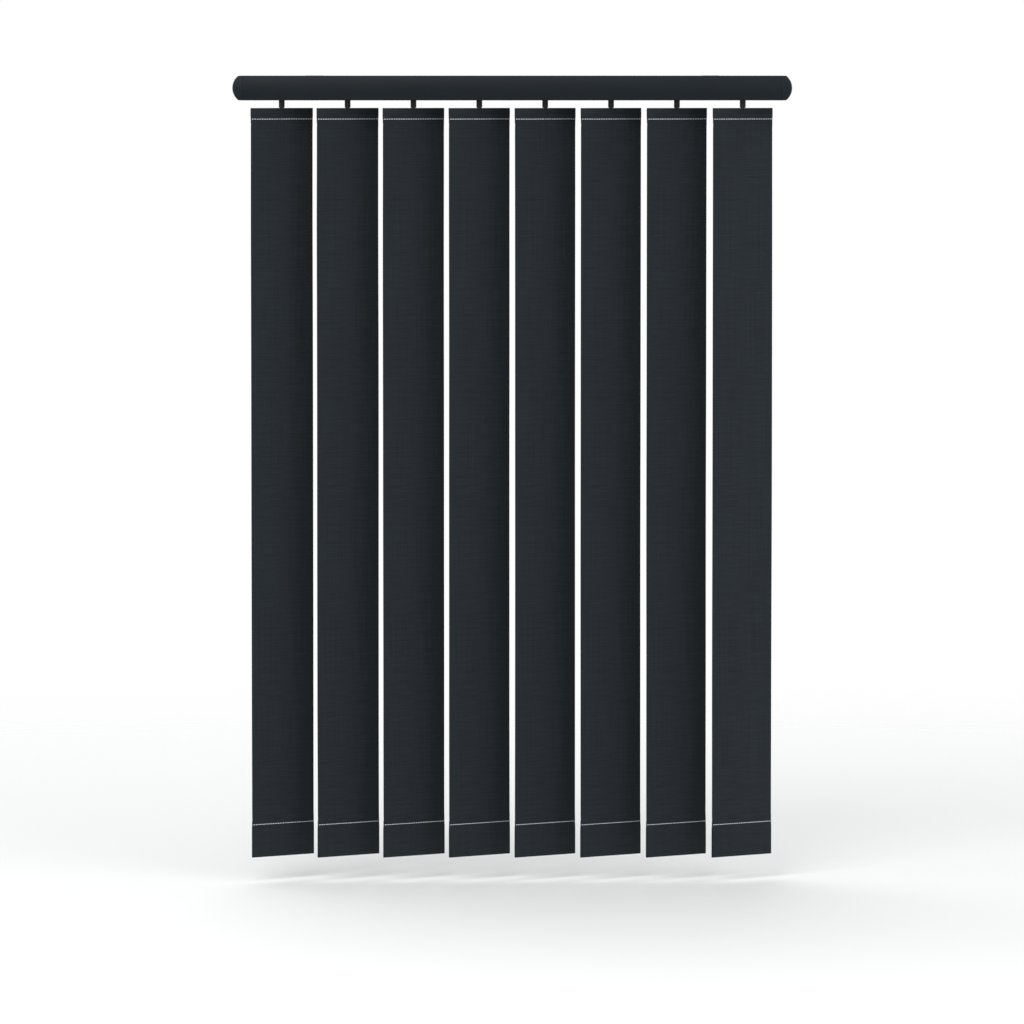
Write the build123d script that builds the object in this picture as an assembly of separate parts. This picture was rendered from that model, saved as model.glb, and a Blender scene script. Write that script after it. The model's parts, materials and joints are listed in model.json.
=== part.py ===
from build123d import *
import math
import os

# Vertical blackout blind: eight cloth vanes hang from worm-driven carriers in a slotted headrail.
# Frame: the origin lies on the ceiling, midway between the two clip holes. +X runs along the rail
# to the right, -Y faces the room and +Z is up. Lengths are millimetres, angles are degrees.

# Vanes
VANE_COUNT = 8
VANE_WIDTH = 89.0
VANE_DROP = 912.0
END_SPACE = 60.0
REST_TILT = 34.5

# Vane cloth and its sewn pockets
FABRIC = 0.5
TOP_HEM = 13.4
BOTTOM_HEM = 40.0
TOP_TAPER = 2.6
BOTTOM_TAPER = 6.0
SEAM_ALLOWANCE = 5.0
POCKET_EASE = 0.2

# Hanger plate in the top pocket
HANGER_SHEET = 1.5
HANGER_INSET = 1.5
HANGER_CORNER = 2.0
TAB_WIDTH = 5.0
TAB_RISE = 7.8
TAB_CORNER = 1.0
TAB_EASE = 0.4
EYE_MARGIN = 1.6
EYE_WIDTH = 2.8
EYE_HEIGHT = 2.4

# Weight plate in the bottom pocket
WEIGHT_SHEET = 1.8
WEIGHT_INSET = 1.5
WEIGHT_CORNER = 3.0

# Headrail extrusion
OVERALL_LENGTH = 680.0
RAIL_HEIGHT = 30.0
RAIL_DEPTH = 44.0
RAIL_BOW = 2.0
RAIL_WALL = 1.5
RAIL_EDGE = 0.9
CHANNEL_OPENING = 19.6
CHANNEL_UNDERCUT = 25.0
CHANNEL_DEPTH = 4.9
CHANNEL_LIP = 1.4
SLOT_WIDTH = 15.0
GUIDE_RISE = 2.0

# Ceiling clips of spring steel
CLIP_INSET = 100.0
CLIP_SHEET = 1.0
CLIP_LENGTH = 20.0
CLIP_PROUD = 0.5
CLIP_HOLE = 4.5
CLIP_SIDE_CLEARANCE = 0.6
CLIP_GRIP_CLEARANCE = 0.3

# End caps
CAP_COLLAR = 6.0
CAP_DOME = 7.3
CAP_PLAN_DOME = 1.5
CAP_WALL = 2.0
CAP_FIT = 0.2
TONGUE_LENGTH = 12.0
TONGUE_HEIGHT = 15.0
BOSS_WALL = 1.6

# Worm drive, with the worm's radii as shares of the gear module
WHEEL_TEETH = 8
WHEEL_FACE = 5.6
WORM_PITCH_SHARE = 2.8
WORM_TIP_SHARE = 3.5
WORM_CORE_SHARE = 2.0
TIP_THICKNESS_SHARE = 0.45
ROOT_THICKNESS_SHARE = 1.15
THREAD_LENGTH = 7.0
BACKLASH = 0.5
MESH_CLEARANCE = 0.3
DRIVE_DROP = 15.5

# Tilt rod with four ribs
SLEEVE_WALL = 1.0
ROD_RIB = 1.6
KEY_CLEARANCE = 0.15

# Chain wheel
CHAIN_NOTCHES = 6
CHAIN_CIRCLE_RADIUS = 5.4
CHAIN_TIP_RADIUS = 6.0
CHAIN_BEAD_RADIUS = 1.9
CHAIN_WHEEL_WIDTH = 4.0
NOTCH_ROOT_SHARE = 0.4
NOTCH_MOUTH_SHARE = 0.66
CHAIN_WHEEL_GAP = 1.2
HUB_RADIUS = 3.4
HUB_LENGTH = 2.0
BEARING_CLEARANCE = 0.2
OUTLET_WIDTH = 4.0

# Carriers
CARRIER_LENGTH = 20.0
RUN_CLEARANCE = 0.15
CARRIER_SIDE_CLEARANCE = 0.2
GUIDE_CLEARANCE = 0.5
HOUSING_HEADROOM = 4.7
FOOT_HEIGHT = 3.0
SHAFT_CLEARANCE = 0.15
SEAT_CLEARANCE = 0.15
WEB = 1.0
FRONT_WALL = 2.0
BACK_WALL = 1.5
SHELF_STEP = 1.7
SHELF = 1.5

# Spacer strips above the carriers' front shelves
STRIP_THICKNESS = 0.6
STRIP_HEIGHT = 3.0
STRIP_INSET = 0.9
STRIP_CLEARANCE = 0.3
CATCH_LENGTH = 4.0
CATCH_LIP = 1.0

# Stems
STEM_EXPOSED = 9.2
SHAFT_RADIUS = 3.6
SHAFT_PROUD = 0.5
JAW_WIDTH = 5.6
JAW_THICKNESS = 1.2
JAW_EASE = 0.25
JAW_END_CLEARANCE = 0.4
BARB_WIDTH = 2.2
BARB_HEIGHT = 1.6
BARB_CLEARANCE = 0.2

# Levels that follow from the sizes above
rail_top = -CLIP_PROUD
rail_bottom = rail_top - RAIL_HEIGHT
rail_middle = (rail_top + rail_bottom) / 2
track = rail_bottom + RAIL_WALL
channel_floor = rail_top - CHANNEL_DEPTH
cavity_top = channel_floor - RAIL_WALL
vane_top = rail_bottom - STEM_EXPOSED
vane_bottom = vane_top - VANE_DROP
top_seam = vane_top - TOP_HEM
bottom_seam = vane_bottom + BOTTOM_HEM

# Places along the rail
vane_pitch = (OVERALL_LENGTH - 2 * END_SPACE) / (VANE_COUNT - 1)
cap_reach = CAP_COLLAR + CAP_DOME
rail_end = OVERALL_LENGTH / 2 - cap_reach
clip_place = OVERALL_LENGTH / 2 - CLIP_INSET

# Pockets: half the space inside each, and half the thickness outside
top_space = HANGER_SHEET / 2 + POCKET_EASE
bottom_space = WEIGHT_SHEET / 2 + POCKET_EASE
top_half = top_space + FABRIC
bottom_half = bottom_space + FABRIC
tab_top = vane_top + TAB_RISE
eye_top = tab_top - EYE_MARGIN

# Drive geometry: the wheel and the worm fill the carrier from the stem's axis to its back wall
carrier_half = RAIL_DEPTH / 2 - RAIL_BOW - RAIL_WALL - CARRIER_SIDE_CLEARANCE
drive_space = carrier_half - BACK_WALL - MESH_CLEARANCE
module = drive_space / (WHEEL_TEETH / 2 + WORM_PITCH_SHARE + WORM_TIP_SHARE)
thread_lead = math.pi * module
worm_tip_radius = WORM_TIP_SHARE * module
worm_core_radius = WORM_CORE_SHARE * module
drive_level = rail_top - DRIVE_DROP
drive_offset = (WHEEL_TEETH / 2 + WORM_PITCH_SHARE) * module
wheel_tip_radius = drive_offset - worm_core_radius - MESH_CLEARANCE
wheel_root_radius = drive_offset - worm_tip_radius - MESH_CLEARANCE
tooth_thickness = (thread_lead - BACKLASH) / 2
tooth_lean = WHEEL_FACE / (2 * WORM_PITCH_SHARE)
wheel_base = drive_level - WHEEL_FACE / 2
wheel_seat = wheel_base - SEAT_CLEARANCE
rod_span = 2 * (worm_core_radius - SLEEVE_WALL)
rod_radius = math.hypot(rod_span, ROD_RIB) / 2
rod_end = rail_end + CHAIN_WHEEL_GAP + CHAIN_WHEEL_WIDTH
chain_plane = rail_end + CHAIN_WHEEL_GAP + CHAIN_WHEEL_WIDTH / 2

# Carrier levels and places across the rail
housing_top = cavity_top - HOUSING_HEADROOM
shelf_top = housing_top - SHELF_STEP
runner_base = track + RUN_CLEARANCE
foot_top = runner_base + FOOT_HEIGHT
guide_top = track + GUIDE_RISE + GUIDE_CLEARANCE
bearing_half = SLOT_WIDTH / 2 - GUIDE_CLEARANCE
runner_inner = SLOT_WIDTH / 2 + RAIL_WALL + GUIDE_CLEARANCE
pocket_half = wheel_tip_radius + MESH_CLEARANCE
shelf_inner = -pocket_half - WEB
first_lane = -carrier_half + STRIP_INSET
last_lane = shelf_inner - STRIP_INSET
strip_base = housing_top + STRIP_CLEARANCE


def carrier_place(index):
    """Where carrier 0, 1, 2 ... stands along the rail with the blind drawn across."""
    return (index - (VANE_COUNT - 1) / 2) * vane_pitch


def lane(index):
    """Where the strip of carrier 0, 1, 2 ... lies across the rail, each in a lane of its own."""
    return first_lane + (last_lane - first_lane) * index / (VANE_COUNT - 2)


def polar(radius, angle):
    return (radius * math.cos(math.radians(angle)), radius * math.sin(math.radians(angle)))


def band(y_low, y_high, z_low, z_high):
    """A rectangle in the rail's cross-section."""
    place = Pos((y_low + y_high) / 2, (z_low + z_high) / 2)
    return place * Rectangle(y_high - y_low, z_high - z_low)


def block(x_low, x_high, y_low, y_high, z_low, z_high):
    place = Pos((x_low + x_high) / 2, (y_low + y_high) / 2, (z_low + z_high) / 2)
    return place * Box(x_high - x_low, y_high - y_low, z_high - z_low)


def along_rail(section, x_low, x_high):
    """Extrudes a cross-section, drawn in Y and Z, from one place along the rail to another."""
    return Pos(x_low, 0, 0) * extrude(Plane.YZ * section, x_high - x_low)


def shaft_along_rail(radius, x_low, x_high):
    """A round bar on the tilt rod's axis."""
    return along_rail(Pos(drive_offset, drive_level) * Circle(radius), x_low, x_high)


def upright(radius, z_low, z_high):
    """A round bar on the stem's axis."""
    return Pos(0, 0, (z_low + z_high) / 2) * Cylinder(radius, z_high - z_low)


def rail_outline(inset):
    """The rail's bowed outside, moved inwards by an inset."""
    half = RAIL_DEPTH / 2 - RAIL_BOW - inset
    top = rail_top - inset
    bottom = rail_bottom + inset
    edges = [
        Line((-half, top), (half, top)),
        ThreePointArc((half, top), (half + RAIL_BOW, rail_middle), (half, bottom)),
        Line((half, bottom), (-half, bottom)),
        ThreePointArc((-half, bottom), (-half - RAIL_BOW, rail_middle), (-half, top)),
    ]
    return make_face(edges)


def headrail():
    opening = CHANNEL_OPENING / 2
    undercut = CHANNEL_UNDERCUT / 2
    slot = SLOT_WIDTH / 2
    outside = fillet(rail_outline(0).vertices(), RAIL_EDGE)
    section = outside - rail_outline(RAIL_WALL)
    section += band(-undercut - RAIL_WALL, undercut + RAIL_WALL, cavity_top, rail_top)
    section -= band(-undercut, undercut, channel_floor, rail_top - CHANNEL_LIP)
    section -= band(-opening, opening, channel_floor, rail_top)
    section += band(-slot - RAIL_WALL, slot + RAIL_WALL, rail_bottom, track + GUIDE_RISE)
    section -= band(-slot, slot, rail_bottom, track + GUIDE_RISE)
    return along_rail(section, -rail_end, rail_end)


def mounting_clip():
    """A strip bent to a plate, two legs and two feet that grip under the channel's lips."""
    plate = CHANNEL_OPENING / 2 - CLIP_SIDE_CLEARANCE
    foot_upper = rail_top - CHANNEL_LIP - CLIP_GRIP_CLEARANCE
    foot_lower = foot_upper - CLIP_SHEET
    foot_out = CHANNEL_UNDERCUT / 2 - CLIP_SIDE_CLEARANCE
    section = band(-foot_out, foot_out, foot_lower, foot_upper)
    section += band(-plate, plate, foot_lower, 0)
    section -= band(CLIP_SHEET - plate, plate - CLIP_SHEET, foot_lower, -CLIP_SHEET)
    clip = along_rail(section, -CLIP_LENGTH / 2, CLIP_LENGTH / 2)
    return clip - upright(CLIP_HOLE / 2, -CLIP_SHEET, 0)


def cap_blank(inset):
    """The domed outside of the right-hand cap, moved inwards by an inset."""
    reach = rail_end + cap_reach - inset
    dome_radius = ((RAIL_HEIGHT / 2) ** 2 + CAP_DOME**2) / (2 * CAP_DOME) - inset
    plan_radius = ((RAIL_DEPTH / 2) ** 2 + CAP_PLAN_DOME**2) / (2 * CAP_PLAN_DOME) - inset
    blank = along_rail(rail_outline(inset), rail_end, reach)
    elevation = Pos(reach - dome_radius, 0, rail_middle) * Rot(90, 0, 0) * Cylinder(dome_radius, RAIL_DEPTH)
    plan = Pos(reach - plan_radius, 0, rail_middle) * Cylinder(plan_radius, RAIL_HEIGHT)
    return blank & elevation & plan


def cap_tongues():
    """Two tongues that follow the rail's side walls inside."""
    ring = rail_outline(RAIL_WALL + CAP_FIT) - rail_outline(RAIL_WALL + CAP_FIT + CAP_WALL)
    low = rail_middle - TONGUE_HEIGHT / 2
    ring &= band(-RAIL_DEPTH, RAIL_DEPTH, low, low + TONGUE_HEIGHT)
    return along_rail(ring, rail_end - TONGUE_LENGTH, rail_end + CAP_WALL)


def rod_boss(half, x_low):
    """A square boss on the rod's axis, from inside the cap out to its dome."""
    section = Pos(drive_offset, drive_level) * Rectangle(2 * half, 2 * half)
    return along_rail(section, x_low, rail_end + cap_reach) & cap_blank(0)


def end_cap_idle():
    """The right-hand cap, with a boss that carries the rod's end."""
    cap = cap_blank(0) - cap_blank(CAP_WALL)
    bore = rod_radius + BEARING_CLEARANCE
    cap += rod_boss(bore + BOSS_WALL, rail_end)
    cap += cap_tongues()
    return cap - shaft_along_rail(bore, rail_end, rod_end + BEARING_CLEARANCE)


def end_cap_control():
    """The left-hand cap, with a bearing for the chain wheel and two outlets for its chain."""
    cap = cap_blank(0) - cap_blank(CAP_WALL)
    bore = HUB_RADIUS + BEARING_CLEARANCE
    seat = rod_end + BEARING_CLEARANCE
    cap += rod_boss(bore + BOSS_WALL, seat)
    cap += cap_tongues()
    cap -= shaft_along_rail(bore, seat, rod_end + HUB_LENGTH + BEARING_CLEARANCE)
    for side in (-1, 1):
        middle = drive_offset + side * CHAIN_CIRCLE_RADIUS
        cap -= block(
            chain_plane - OUTLET_WIDTH / 2, chain_plane + OUTLET_WIDTH / 2,
            middle - OUTLET_WIDTH / 2, middle + OUTLET_WIDTH / 2,
            rail_bottom, rail_bottom + 2 * CAP_WALL,
        )
    return mirror(cap, Plane.YZ)


def rod_section(clearance):
    span = rod_span + 2 * clearance
    rib = ROD_RIB + 2 * clearance
    return Pos(drive_offset, drive_level) * (Rectangle(span, rib) + Rectangle(rib, span))


def tilt_rod():
    return along_rail(rod_section(0), -rod_end, rod_end)


def chain_wheel():
    """A notched wheel keyed on the rod's left end, with a hub that turns in the cap."""
    inner = rod_end - CHAIN_WHEEL_WIDTH
    step = 360 / CHAIN_NOTCHES
    root_radius = CHAIN_CIRCLE_RADIUS - CHAIN_BEAD_RADIUS
    outline = []
    for notch in range(CHAIN_NOTCHES):
        outline += [
            polar(root_radius, (notch - NOTCH_ROOT_SHARE / 2) * step),
            polar(root_radius, (notch + NOTCH_ROOT_SHARE / 2) * step),
            polar(CHAIN_TIP_RADIUS, (notch + NOTCH_MOUTH_SHARE / 2) * step),
            polar(CHAIN_TIP_RADIUS, (notch + 1 - NOTCH_MOUTH_SHARE / 2) * step),
        ]
    star = make_face(Polyline(*outline, close=True))
    wheel = along_rail(Pos(drive_offset, drive_level) * star, inner, rod_end)
    wheel += shaft_along_rail(HUB_RADIUS, rod_end, rod_end + HUB_LENGTH)
    wheel -= along_rail(rod_section(KEY_CLEARANCE), inner, rod_end)
    return mirror(wheel, Plane.YZ)


def spacer_strip(index):
    """The strip from one carrier to the next, with a lip that catches behind the next one's rib."""
    middle = lane(index)
    front, back = middle - STRIP_THICKNESS / 2, middle + STRIP_THICKNESS / 2
    lip = vane_pitch + CARRIER_LENGTH / 2 + STRIP_CLEARANCE
    far_end = lip + CATCH_LIP
    strip = block(-CATCH_LENGTH / 2, far_end, front, back, strip_base, strip_base + STRIP_HEIGHT)
    strip += block(-CATCH_LENGTH / 2, CATCH_LENGTH / 2, front, back, shelf_top, strip_base)
    return strip + block(lip, far_end, front, back, shelf_top + STRIP_CLEARANCE, strip_base)


def carrier_section():
    """The moulding's cross-section: two runners, the stem's bearing, the drive's housing and the shelf."""
    wall_front = shelf_inner - FRONT_WALL
    section = band(-carrier_half, carrier_half, runner_base, foot_top)
    section += band(wall_front, carrier_half, foot_top, housing_top)
    section += band(-carrier_half, wall_front, shelf_top - SHELF, shelf_top)
    section -= band(wall_front, shelf_inner, shelf_top, housing_top)
    for side in (-1, 1):
        edges = sorted((side * bearing_half, side * runner_inner))
        section -= band(edges[0], edges[1], runner_base, guide_top)
    return section


def carrier(index):
    half_length = CARRIER_LENGTH / 2
    thread_half = THREAD_LENGTH / 2 + MESH_CLEARANCE
    journal = worm_core_radius + SHAFT_CLEARANCE
    thread_room = worm_tip_radius + MESH_CLEARANCE
    body = along_rail(carrier_section(), -half_length, half_length)
    body -= block(-pocket_half, pocket_half, -pocket_half, pocket_half, wheel_seat, housing_top)
    body -= upright(SHAFT_RADIUS + SHAFT_CLEARANCE, runner_base, wheel_seat)
    body -= block(
        -thread_half, thread_half,
        drive_offset - thread_room, drive_offset + thread_room,
        drive_level - thread_room, housing_top,
    )
    body -= block(
        -half_length, half_length,
        drive_offset - journal, drive_offset + journal,
        drive_level - journal, housing_top,
    )
    if index > 0:
        rib = lane(index - 1)
        body += block(
            half_length - CATCH_LENGTH, half_length,
            rib - STRIP_THICKNESS / 2, rib + STRIP_THICKNESS / 2,
            shelf_top, housing_top,
        )
    if index < VANE_COUNT - 1:
        body += spacer_strip(index)
    return body


def worm():
    """The worm's sleeve at the root of its thread, keyed on the rod and borne at both ends."""
    half_length = CARRIER_LENGTH / 2
    sleeve = shaft_along_rail(worm_core_radius, -half_length, half_length)
    return sleeve - along_rail(rod_section(KEY_CLEARANCE), -half_length, half_length)


def wheel_tooth():
    """A tooth that points along X from the wheel's axis and leans with the worm's thread."""
    tip = TIP_THICKNESS_SHARE * tooth_thickness / 2
    root = ROOT_THICKNESS_SHARE * tooth_thickness / 2
    side = [(0, root), (wheel_root_radius, root), (wheel_tip_radius, tip)]
    other_side = [(reach, -half) for reach, half in reversed(side)]
    outline = make_face(Polyline(*side, *other_side, close=True))
    slant = (0, tooth_lean, WHEEL_FACE)
    return Pos(0, -tooth_lean / 2, 0) * extrude(outline, math.hypot(tooth_lean, WHEEL_FACE), dir=slant)


def worm_wheel():
    """The stem's wheel, turned so that a gap between two teeth faces the worm at rest."""
    step = 360 / WHEEL_TEETH
    facing = 90 - REST_TILT
    hub = RegularPolygon(wheel_root_radius, WHEEL_TEETH, major_radius=False)
    tooth = wheel_tooth()
    wheel = Rot(0, 0, facing) * extrude(hub, WHEEL_FACE)
    for index in range(WHEEL_TEETH):
        wheel += Rot(0, 0, facing + (index + 1 / 2) * step) * tooth
    return Pos(0, 0, wheel_base) * wheel


def stem():
    """One moulding: the worm wheel, its shaft and two jaws with a barb that carries the hanger."""
    shaft_end = rail_bottom - SHAFT_PROUD
    jaw_end = vane_top + JAW_END_CLEARANCE
    gap = HANGER_SHEET / 2 + JAW_EASE
    piece = worm_wheel() + upright(SHAFT_RADIUS, shaft_end, wheel_base)
    for side in (-1, 1):
        faces = sorted((side * gap, side * (gap + JAW_THICKNESS)))
        piece += block(-JAW_WIDTH / 2, JAW_WIDTH / 2, faces[0], faces[1], jaw_end, shaft_end)
    barb_top = eye_top - BARB_CLEARANCE
    return piece + block(
        -BARB_WIDTH / 2, BARB_WIDTH / 2,
        -gap, gap - BARB_CLEARANCE,
        barb_top - BARB_HEIGHT, barb_top,
    )


def hanger():
    """A plate with a tab that comes up through the fold and hooks on the stem's barb."""
    half = VANE_WIDTH / 2 - HANGER_INSET
    top = vane_top - FABRIC - POCKET_EASE
    bottom = top_seam + TOP_TAPER
    plate = chamfer(band(-half, half, bottom, top).vertices(), HANGER_CORNER)
    tab = band(-TAB_WIDTH / 2, TAB_WIDTH / 2, bottom, tab_top)
    tab = chamfer(tab.vertices().sort_by(Axis.Y)[-2:], TAB_CORNER)
    eye = band(-EYE_WIDTH / 2, EYE_WIDTH / 2, eye_top - EYE_HEIGHT, eye_top)
    return extrude(Plane.XZ * (plate + tab - eye), HANGER_SHEET / 2, both=True)


def weight():
    """A plate with cut corners, a little shorter than its pocket."""
    half = VANE_WIDTH / 2 - WEIGHT_INSET
    bottom = vane_bottom + FABRIC + POCKET_EASE
    top = bottom_seam - BOTTOM_TAPER
    plate = chamfer(band(-half, half, bottom, top).vertices(), WEIGHT_CORNER)
    return extrude(Plane.XZ * plate, WEIGHT_SHEET / 2, both=True)


def vane_side():
    """The vane's outside on one face, from the top fold to the bottom fold."""
    return [
        (top_half, vane_top),
        (top_half, top_seam + TOP_TAPER),
        (FABRIC, top_seam),
        (FABRIC, top_seam - SEAM_ALLOWANCE),
        (FABRIC / 2, top_seam - SEAM_ALLOWANCE),
        (FABRIC / 2, bottom_seam + SEAM_ALLOWANCE),
        (FABRIC, bottom_seam + SEAM_ALLOWANCE),
        (FABRIC, bottom_seam),
        (bottom_half, bottom_seam - BOTTOM_TAPER),
        (bottom_half, vane_bottom),
    ]


def pocket_space(half, fold, shoulder, seam):
    """The space inside a pocket, square at the fold and closed to a point at the seam."""
    return make_face(
        Polyline((-half, fold), (half, fold), (half, shoulder), (0, seam), (-half, shoulder), close=True)
    )


def slat():
    """The cloth vane: one sheet with a pocket at each end and a slit for the hanger's tab."""
    side = vane_side()
    other_side = [(-offset, level) for offset, level in reversed(side)]
    section = make_face(Polyline(*side, *other_side, close=True))
    levels = section.vertices().sort_by(Axis.Y)
    section = chamfer(levels[:2] + levels[-2:], FABRIC)
    top_fold = vane_top - FABRIC
    section -= pocket_space(top_space, top_fold, top_seam + TOP_TAPER, top_seam)
    section -= pocket_space(bottom_space, vane_bottom + FABRIC, bottom_seam - BOTTOM_TAPER, bottom_seam)
    sheet = extrude(Plane.YZ * section, VANE_WIDTH / 2, both=True)
    slit = TAB_WIDTH / 2 + TAB_EASE
    return sheet - block(-slit, slit, -top_space, top_space, top_fold, vane_top)


def save(name, piece):
    export_step(piece, os.path.join("parts", name + ".step"))


def main():
    os.makedirs("parts", exist_ok=True)
    save("headrail", headrail())
    save("end_cap_control", end_cap_control())
    save("end_cap_idle", end_cap_idle())
    save("mounting_clip_left", Pos(-clip_place, 0, 0) * mounting_clip())
    save("mounting_clip_right", Pos(clip_place, 0, 0) * mounting_clip())
    save("tilt_rod", tilt_rod())
    save("chain_wheel", chain_wheel())

    drive_worm = worm()
    hung = {"stem": stem(), "hanger": hanger(), "slat": slat(), "weight": weight()}
    for index in range(VANE_COUNT):
        number = index + 1
        place = Pos(carrier_place(index), 0, 0)
        save(f"carrier_{number}", place * carrier(index))
        save(f"worm_{number}", place * drive_worm)
        for name, piece in hung.items():
            save(f"{name}_{number}", place * Rot(0, 0, REST_TILT) * piece)


if __name__ == "__main__":
    main()
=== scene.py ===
import json
import math
import random

import bmesh
import bpy
from mathutils import Matrix, Vector


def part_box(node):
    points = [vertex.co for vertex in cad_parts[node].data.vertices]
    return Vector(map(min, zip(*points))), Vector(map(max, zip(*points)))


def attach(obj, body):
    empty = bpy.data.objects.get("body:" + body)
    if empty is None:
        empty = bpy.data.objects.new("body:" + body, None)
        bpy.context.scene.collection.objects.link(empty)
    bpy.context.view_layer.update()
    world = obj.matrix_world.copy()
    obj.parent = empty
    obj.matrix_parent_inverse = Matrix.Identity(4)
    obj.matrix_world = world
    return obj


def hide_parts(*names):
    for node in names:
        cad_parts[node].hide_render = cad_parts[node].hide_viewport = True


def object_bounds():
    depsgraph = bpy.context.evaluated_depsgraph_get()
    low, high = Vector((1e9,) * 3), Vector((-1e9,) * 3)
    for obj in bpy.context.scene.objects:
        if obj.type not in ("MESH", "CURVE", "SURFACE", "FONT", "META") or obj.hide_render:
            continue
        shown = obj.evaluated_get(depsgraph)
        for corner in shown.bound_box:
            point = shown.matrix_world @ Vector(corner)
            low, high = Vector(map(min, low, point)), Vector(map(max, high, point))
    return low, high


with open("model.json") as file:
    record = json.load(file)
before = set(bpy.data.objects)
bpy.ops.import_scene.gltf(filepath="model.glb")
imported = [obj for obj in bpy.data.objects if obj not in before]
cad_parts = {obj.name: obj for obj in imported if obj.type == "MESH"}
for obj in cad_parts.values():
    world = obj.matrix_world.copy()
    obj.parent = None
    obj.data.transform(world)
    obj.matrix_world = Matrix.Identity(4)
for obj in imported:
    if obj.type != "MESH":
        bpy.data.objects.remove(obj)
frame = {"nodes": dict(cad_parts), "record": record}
cad_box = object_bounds()

# Vertical blackout blind: cloth, stitching, rounded edges, worm threads and finishes over its solids.
# Lengths are metres in the part's own frame, and angles are radians.
MM = 0.001

# Vanes, as in the solids
VANE_COUNT = 8
VANE_WIDTH = 89 * MM
REST_TILT = math.radians(34.5)
FABRIC = 0.5 * MM
TOP_HEM = 13.4 * MM
BOTTOM_HEM = 40 * MM
TOP_TAPER = 2.6 * MM
BOTTOM_TAPER = 6 * MM
SEAM_ALLOWANCE = 5 * MM
TOP_HALF = 1.45 * MM
BOTTOM_HALF = 1.6 * MM
SLIT_HALF = 2.9 * MM
PLATE_HALF = 43 * MM

# How the cloth folds and hangs
FOLD_RADIUS = 0.6 * MM
LAP_EASE = 7 * MM
PINCH_SHARE = 0.45
CUP_DEPTH = 0.55 * MM
TWIST_DEPTH = 0.45 * MM
WAVE_DEPTH = 0.35 * MM
WAVE_COUNTS = (2, 3, 5)
LEAST_DEPTH_SHARE = 0.5
HEM_HOLD_SHARE = 1 / 6
PUCKER_DEPTH = 0.1 * MM
PUCKER_LENGTH = 9.5 * MM
PUCKER_REACH = 7 * MM

# How finely the cloth is divided
FOLD_STEPS = 4
COLUMN_STEP = 2.6 * MM
PINCH_STEP = 0.5 * MM
PANEL_STEP = 12 * MM
SEAM_STEP = 1.3 * MM
UPPER_POCKET_STEP = 2.6 * MM
LOWER_POCKET_STEP = 3.9 * MM

# The cloth's map for baked textures: its length in strips, side by side
MAP_STRIPS = 3
MAP_MARGIN_SHARE = 0.03

# Stitching
STITCH_PITCH = 3.5 * MM
STITCH_LENGTH = 3.4 * MM
STITCH_WIDTH = 0.8 * MM
STITCH_HEIGHT = 0.34 * MM
STITCH_SINK = 0.16 * MM
STITCH_END_SHARE = 0.24
STITCH_TIP_SHARE = 0.55
STITCH_RINGS = 8
STITCH_SIDES = 8

# Headrail section, as in the solids
RAIL_HEIGHT = 30 * MM
RAIL_DEPTH = 44 * MM
RAIL_BOW = 2 * MM
RAIL_WALL = 1.5 * MM
RAIL_EDGE = 0.9 * MM
CHANNEL_OPENING = 19.6 * MM
CHANNEL_UNDERCUT = 25 * MM
CHANNEL_DEPTH = 4.9 * MM
CHANNEL_LIP = 1.4 * MM
SLOT_WIDTH = 15 * MM
GUIDE_RISE = 2 * MM
BOW_STEPS = 20
CORNER_STEPS = 4

# End caps, as in the solids, and how softly their edges are moulded
CAP_DOME = 7.3 * MM
CAP_PLAN_DOME = 1.5 * MM
TONGUE_LENGTH = 12 * MM
CAP_SET_IN = 0.05 * MM
CAP_ROUND = 0.8 * MM
CAP_PARTING = 0.3 * MM
CAP_STEP = 2 * MM
ROUND_STEPS = 5
DOME_STEPS = 10
RIDGE_SHARE = 0.5

# Rounded edges of the extrusion, the stems and the clips
EXTRUSION_ROUND = 0.25 * MM
STEM_ROUND = 0.25 * MM
CLIP_ROUND = 0.2 * MM
BEVEL_STEPS = 2
BEVEL_PROFILE = 0.5
EXTRUSION_CORNER = math.radians(40)
MOULDED_CORNER = math.radians(35)
FLAT_FACE = math.radians(0.5)
MERGE_DISTANCE = 0.001 * MM

# Angles beyond which an edge shades as sharp
CLOTH_CREASE = math.radians(50)
STITCH_CREASE = math.radians(80)
RAIL_CREASE = math.radians(30)
CAP_CREASE = math.radians(28)
MOULDED_CREASE = math.radians(32)
THREAD_CREASE = math.radians(35)

# Worm drive, as in the solids, with the worm's radii as shares of the gear module
WHEEL_TEETH = 8
DRIVE_SPACE = 16.5 * MM
WORM_PITCH_SHARE = 2.8
WORM_TIP_SHARE = 3.5
WORM_CORE_SHARE = 2.0
BACKLASH = 0.5 * MM

# Worm threads
CREST_CLEARANCE = 0.3 * MM
FLANK_ANGLE = math.radians(20)
THREAD_SINK = 0.2 * MM
THREAD_TURNS = 0.97
THREAD_STEPS = 64
RUNOUT_TURN = math.pi / 4
RUNOUT_HEIGHT_SHARE = 0.05
RUNOUT_WIDTH_SHARE = 0.5

# Colours
CLOTH_COLOR = (0.0126, 0.0169, 0.0209)
COAT_COLOR = (0.0054, 0.0086, 0.0113)
THREAD_COLOR = (0.62, 0.63, 0.64)
FLOOR_COLOR = (0.82, 0.82, 0.81)
AMBIENT_COLOR = (0.96, 0.98, 1.0)
WHITE = (1, 1, 1)

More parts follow.
